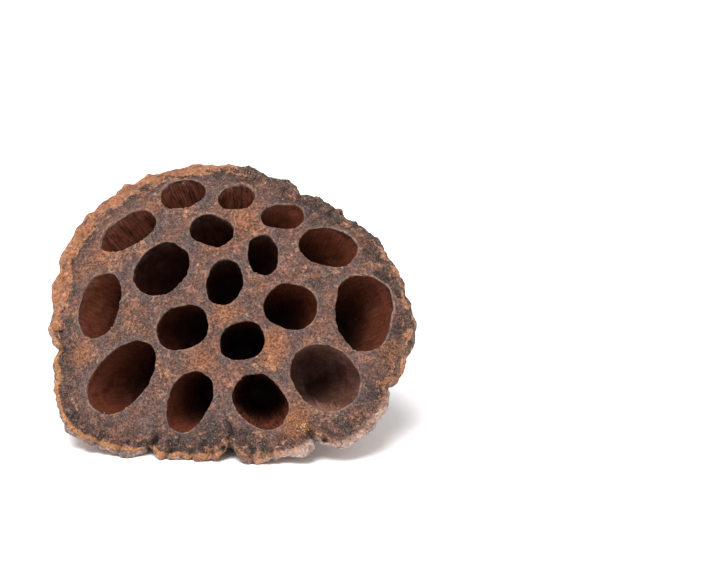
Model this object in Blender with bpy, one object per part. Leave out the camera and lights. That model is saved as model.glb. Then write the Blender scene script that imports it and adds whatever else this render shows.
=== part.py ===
"""A dried lotus pod, lying on its flank with its face of seed cavities turned up and forward.

The pod grew as one piece, so it is one closed solid: a domed face with eighteen empty seed cavities,
each in a raised lip, a thin crinkled rim, a ribbed cone behind it and the cut stub of the stem.

It is modelled about its own axis: local +Z comes out of the face and local +Y is the way up the face.
The finished pod is then tipped back until the rim's lowest lobes and the stub's edge meet the floor.
"""

import math
import random
from collections import namedtuple

import bmesh
import bpy
from mathutils import Vector, geometry

MM = 0.001

# How the pod lies: the face's normal stands this far above the horizon.
FACE_TILT_DEG = 42.0
# The rim's low lobes are worn flat at this distance below the centre of the rim, measured upright.
REST_DROP = 34.6 * MM
# The stub reaches this much past the floor before it is worn flat.
STUB_PRESS = 0.7 * MM

# The rim's radius every 20 degrees, counted from the right-hand side and going up and round.
RIM_RADII_MM = (55, 51.5, 49, 47, 48, 52.5, 56.5, 58.5, 58, 56.5, 56, 60, 53.4, 47.5, 47.3, 50.5, 57, 55.5)
# Where the rim is drawn in, in order: angle in degrees, depth in mm, half width in degrees.
RIM_NOTCHES = (
    (48, 1.0, 3.0),
    (68, 1.6, 4.0),
    (195, 1.4, 3.0),
    (246, 2.6, 3.0),
    (276, 4.2, 3.6),
    (307, 3.4, 2.6),
    (337, 1.8, 2.5),
)

# The face: a shallow dome over the rim.
CROWN_HEIGHT = 9.0 * MM
FACE_UNEVENNESS = 0.45 * MM
# The lengths, in mm, of the waves that make the face uneven: across, up and slantwise.
FACE_WAVES_MM = (4.7, 5.9, 3.1)
MARGIN_GROOVE = 0.7 * MM
MARGIN_WIDTH = 4.6 * MM
# How much of a notch's depth the face's margin follows.
MARGIN_NOTCH_SHARE = 0.75

# The lips round the cavities.
LIP_REACH = 2.1 * MM
LIP_CREST = 0.7 * MM
CREST_SHARE = 0.4
LIP_HEIGHT = 0.85 * MM
MOUTH_HEIGHT = 0.45 * MM
# A lip takes at most this share of the gap to its neighbour, and a lip in a narrow gap stands lower.
GAP_SHARE = 0.4
LEAST_LIP = 0.25

# The cavities lean towards the stem as they go down.
CAVITY_LEAN = 0.32
CAVITY_BASE_DEPTH = 11.0 * MM
CAVITY_DEPTH_PER_LENGTH = 0.50
# Rings down a cavity: share of its depth, share of its mouth's size.
CAVITY_RINGS = ((0.08, 0.985), (0.36, 0.95), (0.66, 0.80), (0.90, 0.46))

# The rim's section, from the edge over the roll towards the face: step inwards in mm, rise in mm.
RIM_ROLL_MM = ((0.0, 0.0), (0.9, 0.9), (2.4, 0.9))
# The cone behind the rim: depth below the rim in mm, share of the rim's radius, share of the rib height.
FLANK = (
    (1.5, 0.979, 1.0),
    (4.0, 0.921, 1.0),
    (8.5, 0.822, 0.9),
    (14.0, 0.702, 0.8),
    (20.5, 0.566, 0.7),
    (27.0, 0.430, 0.6),
    (32.5, 0.310, 0.5),
    (36.5, 0.215, 0.4),
)
# The neck where the cone meets the stem: depth below the rim in mm, radius in mm.
NECK_MM = ((39.5, 7.6), (41.3, 5.4))
NECK_RIB_SHARE = 0.25
STUB_RADIUS = 4.9 * MM
STUB_SWELL = 0.35 * MM
STUB_SWELL_LENGTH = 1.2 * MM
STUB_HOLLOW = 0.6 * MM
# The stub is not quite round: this many corners, this high.
STUB_CORNERS = 7
STUB_CORNER_HEIGHT = 0.04 * MM

# Ribs that run from the stem to the rim, where each ends in a lobe.
RIB_WIDTH_DEG = 12.5
RIB_HEIGHT = 1.5 * MM
RIB_JITTER = 0.28
WEAKEST_RIB = 0.45
RIB_ROUNDNESS = 0.7
# The height at which a rib meets the pod's mean outline, as a share.
RIB_MIDDLE = 0.6
SEED = 17

# The rim's edge waves along the axis: waves round the rim, phase, height.
RIM_WAVES = ((5, 0.6, 0.55 * MM), (11, 2.0, 0.33 * MM))
# A notch lifts the edge by this share of its depth.
NOTCH_LIFT = 0.5

# How finely the pod is divided: points round the rim and round a mouth, and the net over the face.
COLUMNS = 144
MOUTH_POINTS = 20
FACE_GRID = 5.0 * MM
FACE_CLEARANCE = 1.9 * MM

DRIED_BROWN = (0.165, 0.108, 0.085, 1.0)
DRIED_ROUGHNESS = 0.85

# One seed cavity's mouth on the face, in mm from the axis: centre, length, width, the turn of its
# length in degrees, and how much fatter one end is than the other.
Mouth = namedtuple("Mouth", "across up length width turn egg")
MOUTHS = (
    Mouth(-19.5, 38.2, 14.0, 11.6, 15, -0.10),
    Mouth(-2.6, 37.6, 11.3, 10.0, 20, 0.05),
    Mouth(12.2, 31.5, 13.2, 9.6, 8, 0.10),
    Mouth(27.0, 21.8, 17.5, 13.8, -10, 0.00),
    Mouth(-34.6, 24.5, 18.8, 11.8, 38, 0.05),
    Mouth(-8.4, 24.7, 14.2, 11.3, -25, 0.00),
    Mouth(8.5, 16.8, 14.8, 9.2, 102, 0.05),
    Mouth(-21.8, 11.0, 18.5, 16.2, 60, 0.00),
    Mouth(-1.7, 6.7, 15.7, 11.0, 94, 0.00),
    Mouth(-39.5, -0.6, 21.5, 13.2, 86, 0.05),
    Mouth(18.7, 0.3, 16.0, 15.0, -15, 0.00),
    Mouth(39.8, 1.2, 25.0, 16.6, 95, 0.10),
    Mouth(-12.6, -8.3, 15.8, 14.5, 20, 0.00),
    Mouth(5.7, -11.5, 13.7, 11.9, 15, 0.05),
    Mouth(-29.2, -23.3, 24.3, 17.0, 55, -0.08),
    Mouth(-8.4, -30.1, 18.2, 12.6, 68, 0.12),
    Mouth(12.7, -28.9, 17.8, 14.2, -40, -0.05),
    Mouth(30.5, -20.4, 21.5, 18.2, -40, 0.05),
)
MOUTH_SQUARENESS = 2.25


def clear_scene():
    for old in list(bpy.data.objects):
        bpy.data.objects.remove(old, do_unlink=True)


def wrapped(degrees):
    """An angle brought to between -180 and 180 degrees."""
    return (degrees + 180.0) % 360.0 - 180.0


def rib_valleys():
    """The angles, in degrees, of the furrows between ribs: the rim's notches, and others spread between."""
    draw = random.Random(SEED)
    notches = [angle for angle, _, _ in RIM_NOTCHES]
    furrows = list(notches)
    for start, end in zip(notches, notches[1:] + [notches[0] + 360.0]):
        count = round((end - start) / RIB_WIDTH_DEG)
        for i in range(1, count):
            place = i + draw.uniform(-RIB_JITTER, RIB_JITTER)
            furrows.append((start + place * (end - start) / count) % 360.0)
    return sorted(furrows)


VALLEYS = rib_valleys()


def rib_strengths():
    """How high each rib stands, as a share of the highest."""
    draw = random.Random(SEED + 1)
    return [draw.uniform(WEAKEST_RIB, 1.0) for _ in VALLEYS]


STRENGTHS = rib_strengths()


def rib(degrees):
    """0 in a furrow and up to 1 on a rib's crest: round lobes with sharp furrows between them."""
    degrees %= 360.0
    for i, start in enumerate(VALLEYS):
        width = (VALLEYS[(i + 1) % len(VALLEYS)] - start) % 360.0
        along = (degrees - start) % 360.0
        if along <= width:
            return STRENGTHS[i] * max(0.0, math.sin(math.pi * along / width)) ** RIB_ROUNDNESS
    return 0.0


def smooth_radius(degrees):
    """The rim's radius without its lobes: a closed Catmull-Rom curve through RIM_RADII_MM."""
    count = len(RIM_RADII_MM)
    place = (degrees % 360.0) / 360.0 * count
    i = int(place)
    t = place - i
    a, b, c, d = (RIM_RADII_MM[(i + k) % count] for k in (-1, 0, 1, 2))
    cubic = 2 * b + (c - a) * t + (2 * a - 5 * b + 4 * c - d) * t**2 + (3 * b - a - 3 * c + d) * t**3
    return 0.5 * cubic * MM


def notch_depth(degrees):
    """How far the rim is drawn in here."""
    depth = 0.0
    for angle, deep, half_width in RIM_NOTCHES:
        depth += deep * MM * math.exp(-((wrapped(degrees - angle) / half_width) ** 2))
    return depth


def rim_radius(degrees):
    return smooth_radius(degrees) - notch_depth(degrees) + RIB_HEIGHT * (rib(degrees) - RIB_MIDDLE)


def rim_rise(degrees):
    """The rim's edge waves a little along the axis as it goes round."""
    turn = math.radians(degrees)
    waves = sum(height * math.sin(count * turn + phase) for count, phase, height in RIM_WAVES)
    return waves + NOTCH_LIFT * notch_depth(degrees)


def margin_outline(degrees):
    """The outline that the face keeps its distance from: no lobes, and shallower notches."""
    return smooth_radius(degrees) - MARGIN_NOTCH_SHARE * notch_depth(degrees)


def polar(u, v):
    return math.hypot(u, v), math.degrees(math.atan2(v, u)) % 360.0


def face_height(u, v):
    """Height of the face above the rim plane: a dome, low hollows and rises, and a groove inside the rim."""
    radius, degrees = polar(u, v)
    rim = margin_outline(degrees)
    share = min(radius / rim, 1.0)
    dome = CROWN_HEIGHT * (1.0 - share**2)
    across, up, slant = (wave * MM for wave in FACE_WAVES_MM)
    uneven = math.sin(u / across + 0.8) * math.cos(v / up - 0.5) + 0.5 * math.sin((u - v) / slant)
    groove = MARGIN_GROOVE * math.exp(-(((rim - radius - MARGIN_WIDTH) / (0.45 * MARGIN_WIDTH)) ** 2))
    edge = rim_rise(degrees) * share**6
    return dome + FACE_UNEVENNESS * uneven * (1.0 - share**8) - groove + edge


def mouth_outline(mouth, grow=0.0, scale=1.0):
    """Points round a mouth, turned and placed on the face; grow widens it evenly and scale shrinks it."""
    points = []
    turn = math.radians(mouth.turn)
    power = 2.0 / MOUTH_SQUARENESS
    for i in range(MOUTH_POINTS):
        angle = 2.0 * math.pi * i / MOUTH_POINTS
        c, s = math.cos(angle), math.sin(angle)
        x = math.copysign(abs(c) ** power, c) * (0.5 * mouth.length * MM * scale + grow)
        y = math.copysign(abs(s) ** power, s) * (0.5 * mouth.width * MM * scale + grow)
        y *= 1.0 + mouth.egg * c
        across = mouth.across * MM + x * math.cos(turn) - y * math.sin(turn)
        up = mouth.up * MM + x * math.sin(turn) + y * math.cos(turn)
        points.append(Vector((across, up)))
    return points


def band(mesh, upper, lower):
    """Faces between two closed rings: of equal count, or with the upper ring twice as fine."""
    count = len(lower)
    ratio = len(upper) // count
    for j in range(count):
        k = (j + 1) % count
        if ratio == 1:
            mesh.faces.new((upper[j], lower[j], lower[k], upper[k]))
        else:
            first, middle, last = upper[2 * j], upper[2 * j + 1], upper[(2 * j + 2) % len(upper)]
            mesh.faces.new((first, lower[j], middle))
            mesh.faces.new((middle, lower[j], lower[k]))
            mesh.faces.new((middle, lower[k], last))


def ring(mesh, points):
    return [mesh.verts.new(p) for p in points]


def column_angles(count=COLUMNS):
    return [360.0 * j / count for j in range(count)]


def on_circle(radius, degrees, height):
    turn = math.radians(degrees)
    return Vector((radius * math.cos(turn), radius * math.sin(turn), height))


def build_rim(mesh):
    """The rolled edge of the rim. Returns its outermost ring and the ring where the face begins."""
    rings = []
    for inward_mm, rise_mm in RIM_ROLL_MM:
        points = []
        for degrees in column_angles():
            radius = rim_radius(degrees) - inward_mm * MM
            points.append(on_circle(radius, degrees, rim_rise(degrees) + rise_mm * MM))
        rings.append(ring(mesh, points))
    margin = [on_circle(margin_outline(degrees) - MARGIN_WIDTH, degrees, 0.0) for degrees in column_angles()]
    for point in margin:
        point.z = face_height(point.x, point.y)
    rings.append(ring(mesh, margin))
    for outer, inner in zip(rings, rings[1:]):
        band(mesh, inner, outer)
    return rings[0], rings[-1]


def stub_depth():
    """How far below the rim the stem is cut, so that its edge reaches the floor as the pod lies."""
    tilt = math.radians(FACE_TILT_DEG)
    return (REST_DROP + STUB_PRESS - STUB_RADIUS * math.cos(tilt)) / math.sin(tilt)


def build_flank(mesh, edge_ring):
    """The ribbed cone behind the rim, the neck and the cut stub."""
    upper = edge_ring
    for i, (depth_mm, share, rib_share) in enumerate(FLANK):
        count = COLUMNS if i < 5 else COLUMNS // 2
        points = []
        for degrees in column_angles(count):
            # Towards the stem the cone forgets the rim's outline and grows round.
            outline = smooth_radius(degrees) - notch_depth(degrees) * share**2
            mean = sum(RIM_RADII_MM) / len(RIM_RADII_MM) * MM
            radius = share * (mean + (outline - mean) * (0.35 + 0.65 * share))
            radius += RIB_HEIGHT * rib_share * (rib(degrees) - RIB_MIDDLE)
            points.append(on_circle(radius, degrees, rim_rise(degrees) * share**3 - depth_mm * MM))
        lower = ring(mesh, points)
        band(mesh, upper, lower)
        upper = lower
    count = COLUMNS // 4
    for depth_mm, radius_mm in NECK_MM:
        points = []
        for degrees in column_angles(count):
            radius = radius_mm * MM + NECK_RIB_SHARE * RIB_HEIGHT * (rib(degrees) - RIB_MIDDLE)
            points.append(on_circle(radius, degrees, -depth_mm * MM))
        lower = ring(mesh, points)
        band(mesh, upper, lower)
        upper = lower
    end = stub_depth()
    for depth, radius in ((end - STUB_SWELL_LENGTH, STUB_RADIUS + STUB_SWELL), (end, STUB_RADIUS)):
        points = []
        for degrees in column_angles(count):
            corner = STUB_CORNER_HEIGHT * math.cos(STUB_CORNERS * math.radians(degrees))
            points.append(on_circle(radius + corner, degrees, -depth))
        lower = ring(mesh, points)
        band(mesh, upper, lower)
        upper = lower
    centre = mesh.verts.new((0.0, 0.0, -end + STUB_HOLLOW))
    for j in range(count):
        mesh.faces.new((upper[j], centre, upper[(j + 1) % count]))


def lip_reaches(outlines, margin):
    """For each point of each mouth, how far its lip may spread before it meets a neighbour's."""
    reaches = []
    for i, outline in enumerate(outlines):
        others = [p for k, other in enumerate(outlines) if k != i for p in other] + margin
        reaches.append([min(LIP_REACH, GAP_SHARE * min((p - q).length for q in others)) for p in outline])
    return reaches


def build_cavity(mesh, mouth, outline, reaches):
    """One lip and the cavity below it. Returns the ring where the lip meets the face."""
    centre = Vector((mouth.across, mouth.up)) * MM
    middle = face_height(*centre)
    foot, crest, lip = [], [], []
    for point, reach in zip(outline, reaches):
        away = (point - centre).normalized()
        far, near = point + away * reach, point + away * min(LIP_CREST, CREST_SHARE * reach)
        foot.append(mesh.verts.new((*far, face_height(*far))))
        lift = min(1.0, reach / LIP_REACH + LEAST_LIP)
        crest.append(mesh.verts.new((*near, face_height(*near) + LIP_HEIGHT * lift)))
        lip.append(mesh.verts.new((*point, face_height(*point) + MOUTH_HEIGHT * lift)))
    band(mesh, foot, crest)
    band(mesh, crest, lip)
    depth = CAVITY_BASE_DEPTH + CAVITY_DEPTH_PER_LENGTH * mouth.length * MM
    upper = lip
    for down, size in CAVITY_RINGS:
        shift = -CAVITY_LEAN * down * centre
        level = 1.0 - down
        points = [
            Vector((*(p + shift), middle + level * (face_height(*q) - middle) - depth * down))
            for p, q in zip(mouth_outline(mouth, scale=size), outline)
        ]
        lower = ring(mesh, points)
        band(mesh, upper, lower)
        upper = lower
    tip = mesh.verts.new((*(centre * (1.0 - CAVITY_LEAN)), middle - depth))
    for j in range(MOUTH_POINTS):
        mesh.faces.new((upper[j], tip, upper[(j + 1) % MOUTH_POINTS]))
    return foot


def inside(point, outline):
    """Whether a point lies within a closed outline, counting the sides crossed on the way out."""
    crossed = False
    for a, b in zip(outline, outline[1:] + outline[:1]):
        if (a.y > point.y) != (b.y > point.y):
            if point.x < a.x + (b.x - a.x) * (point.y - a.y) / (b.y - a.y):
                crossed = not crossed
    return crossed


def face_grid(margin, feet):
    """Points spread evenly over the bare face between the lips."""
    reach = max(p.length for p in margin)
    row_height = FACE_GRID * math.sqrt(0.75)
    rows = int(reach / row_height) + 1
    edges = margin + [p for foot in feet for p in foot]
    points = []
    for row in range(-rows, rows + 1):
        for column in range(-rows, rows + 1):
            p = Vector(((column + 0.5 * (row % 2)) * FACE_GRID, row * row_height))
            if not inside(p, margin) or any(inside(p, foot) for foot in feet):
                continue
            if min((p - q).length for q in edges) > FACE_CLEARANCE:
                points.append(p)
    return points


def build_face(mesh, margin_ring, foot_rings):
    """The skin of the face between the rim's margin and the lips, as a Delaunay net over its own grid."""
    loops = [margin_ring] + foot_rings
    outlines = [[vert.co.xy for vert in loop] for loop in loops]
    verts = [vert for loop in loops for vert in loop]
    edges = []
    for loop in loops:
        start = verts.index(loop[0])
        edges += [(start + j, start + (j + 1) % len(loop)) for j in range(len(loop))]
    verts += [mesh.verts.new((*p, face_height(*p))) for p in face_grid(outlines[0], outlines[1:])]
    flat = [vert.co.xy for vert in verts]
    net = geometry.delaunay_2d_cdt(flat, edges, [], 0, 1e-7)
    source = [origin[0] for origin in net[3]]
    for triangle in net[2]:
        corners = [verts[source[i]] for i in triangle]
        middle = sum((vert.co.xy for vert in corners), Vector((0.0, 0.0))) / 3.0
        if inside(middle, outlines[0]) and not any(inside(middle, hole) for hole in outlines[1:]):
            mesh.faces.new(corners)


def wear_flat(mesh):
    """Flattens what would reach under the floor, so that the pod rests on small flat spots."""
    tilt = math.radians(FACE_TILT_DEG)
    upright = Vector((0.0, math.cos(tilt), math.sin(tilt)))
    for vert in mesh.verts:
        below = -REST_DROP - vert.co.dot(upright)
        if below > 0.0:
            vert.co += upright * below


def dried_skin():
    material = bpy.data.materials.new("dried_lotus_skin")
    material.use_nodes = True
    shader = material.node_tree.nodes["Principled BSDF"]
    shader.inputs["Base Color"].default_value = DRIED_BROWN
    shader.inputs["Roughness"].default_value = DRIED_ROUGHNESS
    shader.inputs["Metallic"].default_value = 0.0
    return material


def build_pod():
    mesh = bmesh.new()
    edge_ring, margin_ring = build_rim(mesh)
    build_flank(mesh, edge_ring)
    outlines = [mouth_outline(mouth) for mouth in MOUTHS]
    reaches = lip_reaches(outlines, [vert.co.xy for vert in margin_ring])
    feet = [build_cavity(mesh, *row) for row in zip(MOUTHS, outlines, reaches)]
    build_face(mesh, margin_ring, feet)
    bmesh.ops.recalc_face_normals(mesh, faces=mesh.faces)
    wear_flat(mesh)
    data = bpy.data.meshes.new("lotus_pod")
    mesh.to_mesh(data)
    mesh.free()
    data.shade_smooth()
    data.materials.append(dried_skin())
    pod = bpy.data.objects.new("lotus_pod", data)
    bpy.context.scene.collection.objects.link(pod)
    return pod


def lay_down(pod):
    """Tips the pod back onto its flank, with the middle of its footprint on the origin."""
    pod.rotation_euler.x = math.radians(90.0 - FACE_TILT_DEG)
    bpy.context.view_layer.update()
    placed = [pod.matrix_world @ vert.co for vert in pod.data.vertices]
    lows = [min(p[i] for p in placed) for i in range(3)]
    highs = [max(p[i] for p in placed) for i in range(3)]
    pod.location = (-0.5 * (lows[0] + highs[0]), -0.5 * (lows[1] + highs[1]), -lows[2])


clear_scene()
lay_down(build_pod())
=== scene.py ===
import math
import random

import bmesh
import bpy
import numpy as np
from mathutils import Euler, Matrix, Vector, noise
from mathutils.bvhtree import BVHTree


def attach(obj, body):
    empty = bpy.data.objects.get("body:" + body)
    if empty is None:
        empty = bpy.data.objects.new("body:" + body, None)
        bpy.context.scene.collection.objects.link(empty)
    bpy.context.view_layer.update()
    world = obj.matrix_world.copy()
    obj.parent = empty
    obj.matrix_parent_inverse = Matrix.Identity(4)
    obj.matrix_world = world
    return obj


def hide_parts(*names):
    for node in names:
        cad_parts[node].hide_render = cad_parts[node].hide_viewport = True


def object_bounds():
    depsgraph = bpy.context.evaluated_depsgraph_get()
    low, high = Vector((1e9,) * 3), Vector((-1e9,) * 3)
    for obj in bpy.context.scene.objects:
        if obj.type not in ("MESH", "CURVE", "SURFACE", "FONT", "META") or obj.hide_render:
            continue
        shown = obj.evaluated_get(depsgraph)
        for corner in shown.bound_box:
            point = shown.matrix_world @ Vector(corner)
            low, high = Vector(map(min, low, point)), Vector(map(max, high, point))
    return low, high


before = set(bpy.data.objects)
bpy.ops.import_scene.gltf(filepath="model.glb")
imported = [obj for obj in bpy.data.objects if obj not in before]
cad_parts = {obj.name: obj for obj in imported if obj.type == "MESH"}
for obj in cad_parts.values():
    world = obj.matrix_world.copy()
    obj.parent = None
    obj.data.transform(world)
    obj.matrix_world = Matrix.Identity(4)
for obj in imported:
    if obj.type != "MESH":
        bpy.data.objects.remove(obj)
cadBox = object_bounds()
mm = 0.001
print("frame loaded")


def addObject(name, data):
    made = bpy.data.objects.new(name, data)
    bpy.context.scene.collection.objects.link(made)
    return made


# The pod's form in millimetres about its own axis: u across the face, v up the face, w out of it.
podForm = {
    "tilt": math.radians(42),  # the face's normal above the horizon
    "middle": (0.694, -3.487, 34.6),  # where the middle of the rim's plane lies
    "rimRadii": (55, 51.5, 49, 47, 48, 52.5, 56.5, 58.5, 58, 56.5, 56, 60, 53.4, 47.5, 47.3, 50.5, 57, 55.5),
    "notches": ((48, 1.0, 3.0), (68, 1.6, 4.0), (195, 1.4, 3.0), (246, 2.6, 3.0), (276, 4.2, 3.6),
                (307, 3.4, 2.6), (337, 1.8, 2.5)),  # angle, depth, half width in degrees
    "crown": 9.0,
    "cavityLean": 0.32,
    "cavityDepth": 11.0,  # and half the mouth's length more
    "cavityProfile": ((0, 1), (0.08, 0.985), (0.36, 0.95), (0.66, 0.80), (0.90, 0.46), (1, 0.08)),
    "squareness": 2.25,
    "stubTop": 41.0,
}

# Each seed cavity's mouth: across, up, length, width, turn in degrees, how much fatter one end is, and how
# light the lining is, partly the lining's own colour and partly painted shade where a deep cavity gets
# little light.
mouths = (
    (-19.5, 38.2, 14.0, 11.6, 15, -0.10, 0.70),
    (-2.6, 37.6, 11.3, 10.0, 20, 0.05, 0.65),
    (12.2, 31.5, 13.2, 9.6, 8, 0.10, 0.50),
    (27.0, 21.8, 17.5, 13.8, -10, 0.00, 0.48),
    (-34.6, 24.5, 18.8, 11.8, 38, 0.05, 0.62),
    (-8.4, 24.7, 14.2, 11.3, -25, 0.00, 0.09),
    (8.5, 16.8, 14.8, 9.2, 102, 0.05, 0.10),
    (-21.8, 11.0, 18.5, 16.2, 60, 0.00, 0.08),
    (-1.7, 6.7, 15.7, 11.0, 94, 0.00, 0.06),
    (-39.5, -0.6, 21.5, 13.2, 86, 0.05, 0.56),
    (18.7, 0.3, 16.0, 15.0, -15, 0.00, 0.33),
    (39.8, 1.2, 25.0, 16.6, 95, 0.10, 0.58),
    (-12.6, -8.3, 15.8, 14.5, 20, 0.00, 0.14),
    (5.7, -11.5, 13.7, 11.9, 15, 0.05, 0.10),
    (-29.2, -23.3, 24.3, 17.0, 55, -0.08, 0.50),
    (-8.4, -30.1, 18.2, 12.6, 68, 0.12, 0.54),
    (12.7, -28.9, 17.8, 14.2, -40, -0.05, 0.64),
    (30.5, -20.4, 21.5, 18.2, -40, 0.05, 0.95),
)

tiltSin, tiltCos = math.sin(podForm["tilt"]), math.cos(podForm["tilt"])
podAxes = np.array(((1, 0, 0), (0, tiltSin, tiltCos), (0, -tiltCos, tiltSin)))


def toPod(places):
    return (places / mm - podForm["middle"]) @ podAxes.T


def toWorld(places):
    return (np.asarray(places) @ podAxes + podForm["middle"]) * mm


def fade(value, start, end):
    # 0 at start, 1 at end, smooth between
    share = np.clip((value - start) / (end - start), 0, 1)
    return share * share * (3 - 2 * share)


def bump(value, width):
    return np.exp(-((value / width) ** 2))


def turnedBy(degrees):
    return (degrees + 180) % 360 - 180


def smoothRadius(degrees):
    # a closed Catmull-Rom curve through the rim's radii
    radii = np.array(podForm["rimRadii"], float)
    place = (degrees % 360) / 360 * len(radii)
    first = np.floor(place).astype(int)
    t = place - first
    a, b, c, d = (radii[(first + k) % len(radii)] for k in (-1, 0, 1, 2))
    cubic = 2 * b + (c - a) * t + (2 * a - 5 * b + 4 * c - d) * t**2 + (3 * b - a - 3 * c + d) * t**3
    return 0.5 * cubic


def notchDepth(degrees):
    depth = np.zeros_like(degrees)
    for angle, deep, halfWidth in podForm["notches"]:
        depth += deep * bump(turnedBy(degrees - angle), halfWidth)
    return depth


def faceHeight(u, v):
    degrees = np.degrees(np.arctan2(v, u))
    rim = smoothRadius(degrees) - 0.75 * notchDepth(degrees)
    share = np.minimum(np.hypot(u, v) / rim, 1)
    return podForm["crown"] * (1 - share**2)


def mouthReach(mouth, u, v):
    # how far out a place is, where 1 is the mouth's edge
    across, up, length, width, turn, egg = mouth[:6]
    c, s = math.cos(math.radians(turn)), math.sin(math.radians(turn))
    along = ((u - across) * c + (v - up) * s) / (0.5 * length)
    side = ((v - up) * c - (u - across) * s) / (0.5 * width) / (1 + egg * np.clip(along, -1, 1))
    power = podForm["squareness"]
    return (np.abs(along) ** power + np.abs(side) ** power) ** (1 / power)


# Reading the skin: where each vertex lies on the pod

def readVectors(rows, name):
    flat = np.empty(len(rows) * 3, np.float32)
    rows.foreach_get(name, flat)
    return flat.reshape(-1, 3).astype(float)


# What counts as a cavity's wall: shares of its reach and depth, millimetres below the face, and how
# far the skin faces out from the cavity's axis or up the pod's.
wallLimits = {
    "slack": 0.16,
    "below": 0.25,
    "bottom": 1.12,
    "facing": 0.25,
    "core": 0.5,
    "level": 0.72,
    "levelReach": 0.93,
}


def readSkin(places, normals):
    u, v, w = places.T
    skin = {"u": u, "v": v, "w": w}
    skin["degrees"] = np.degrees(np.arctan2(v, u)) % 360
    skin["radius"] = np.hypot(u, v)
    skin["edge"] = smoothRadius(skin["degrees"]) - notchDepth(skin["degrees"])
    skin["below"] = faceHeight(u, v) - w
    skin["inward"] = skin["edge"] - skin["radius"]
    nearest = np.full(len(u), 99.0)
    lipAway = np.full(len(u), 99.0)  # past the nearest mouth's lip, less than 0 down its wall
    lining = np.zeros(len(u), bool)
    depth, tone, turn = np.zeros(len(u)), np.zeros(len(u)), np.zeros(len(u))
    size = np.full(len(u), 7.0)
    downs, shares = zip(*podForm["cavityProfile"])
    for mouth in mouths:
        middle = faceHeight(np.array([mouth[0]]), np.array([mouth[1]]))[0]
        deep = podForm["cavityDepth"] + 0.5 * mouth[2]
        down = (middle - w) / deep
        for _ in range(3):
            shift = podForm["cavityLean"] * np.clip(down, 0, 1)
            above = faceHeight(u + shift * mouth[0], v + shift * mouth[1])
            down = np.clip((above - w) / (deep + above - middle), -0.2, 1.2)
        lean = 1 - podForm["cavityLean"] * np.clip(down, 0, 1)
        centreU, centreV = mouth[0] * lean, mouth[1] * lean
        share = np.interp(np.clip(down, 0, 1), downs, shares)
        reach = mouthReach(mouth, u - centreU + mouth[0], v - centreV + mouth[1])
        fromAxis = np.stack((u - centreU, v - centreV), 1)
        away = np.hypot(*fromAxis.T) + 1e-6
        facing = (normals[:, 0] * fromAxis[:, 0] + normals[:, 1] * fromAxis[:, 1]) / away
        inside = (reach < share + wallLimits["slack"]) & (skin["below"] > wallLimits["below"])
        inside &= down < wallLimits["bottom"]
        inside &= (facing < wallLimits["facing"]) | (reach < wallLimits["core"] * share)
        inside &= (normals[:, 2] < wallLimits["level"]) | (reach < wallLimits["levelReach"])
        inside |= (reach < 0.99) & (skin["below"] > -0.5) & (np.abs(down) < 0.2) & (facing < 0.1)
        lining |= inside
        depth = np.where(inside, np.clip(down, 0, 1), depth)
        tone = np.where(inside, mouth[6], tone)
        turn = np.where(inside, np.arctan2(fromAxis[:, 1], fromAxis[:, 0]), turn)
        size = np.where(inside, 0.25 * (mouth[2] + mouth[3]), size)
        outward = np.maximum(away * (1 - 1 / np.maximum(reach, 0.05)), 0)
        chosen = inside | (~lining & (outward < nearest))
        nearest = np.where(chosen, outward, nearest)
        lipAway = np.where(chosen, outward - np.maximum(skin["below"] + 0.1, 0), lipAway)
    skin["lining"], skin["depth"], skin["lip"] = lining, depth, np.abs(lipAway)
    skin["tone"], skin["turn"], skin["size"] = tone, turn, size
    skin["stub"] = (~lining) & (w < -podForm["stubTop"] + 0.8) & (skin["radius"] < 8)
    skin["face"] = (~lining) & (~skin["stub"]) & (skin["below"] < 1.2) & (normals[:, 2] > 0.1)
    skin["face"] &= skin["inward"] > -0.6
    skin["flank"] = ~(lining | skin["stub"] | skin["face"])
    flank = skin["flank"]
    skin["rim"] = np.where(flank, bump(np.maximum(-w, 0), 2.6), 1 - fade(skin["inward"], 1.6, 5.0))
    skin["rim"] = np.where(lining | skin["stub"], 0, skin["rim"])
    skin["edgeAway"] = np.where(flank, np.minimum(w, 0), np.maximum(skin["inward"], 0))
    skin["edgeAway"] = np.where(lining | skin["stub"], 99, skin["edgeAway"])
    skin["lipAway"] = np.where(flank | skin["stub"], 9, lipAway)
    return skin


def grain(places, scale, octaves=3, shift=0.0):
    # fractal noise about 0, in units of its own height
    spots = places / scale + shift
    return np.array([noise.fractal(Vector(spot), 0.8, 2.1, octaves) for spot in spots])


def ridges(places, scale, shift=0.0):
    # sharp crests: 1 on a crest, 0 well away
    spots = places / scale + shift
    return 1 - np.abs(np.array([noise.noise(Vector(spot)) for spot in spots])) * 2.2


# The pod's skin: the CAD form with its wrinkles, crinkles, streaks and striations raised on it

podSkin = {
    "mergeWithin": 0.01 * mm,
    "quadAngle": math.radians(50),
    "voxel": 0.52 * mm,
    "mostTriangles": 190000,
    "faceLump": 0.42,  # heights in millimetres
    "faceGrain": 0.26,
    "marginFold": 1.10,
    "marginPleat": 0.40,
    "marginCrease": 1.15,
    "creaseShoulder": 0.55,
    "lipRise": 0.24,
    "lipSway": 0.36,
    "rimLobe": 0.70,
    "rimCrinkle": 0.13,
    "rimFlute": 0.07,
    "flankFold": 1.25,
    "flankStreak": 0.65,
    "flankFine": 0.22,
    "wallStria": 0.15,
    "wallLump": 0.40,
    "wallRidge": 1.5,
    "corkBump": 0.60,
    "pinholeDepth": 1.3,
    "boxMargin": 0.02 * mm,
}

# Small holes near the rim, sunk and painted dark with shade: across, up, radius, in millimetres.
pinholes = (
    (-19.8, -43.0, 0.75), (31.8, -38.4, 0.8), (-51.2, -7.6, 0.6), (2.4, -42.2, 0.9), (17.5, 41.5, 0.7),
    (29.5, 36.0, 0.9),
)

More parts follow.
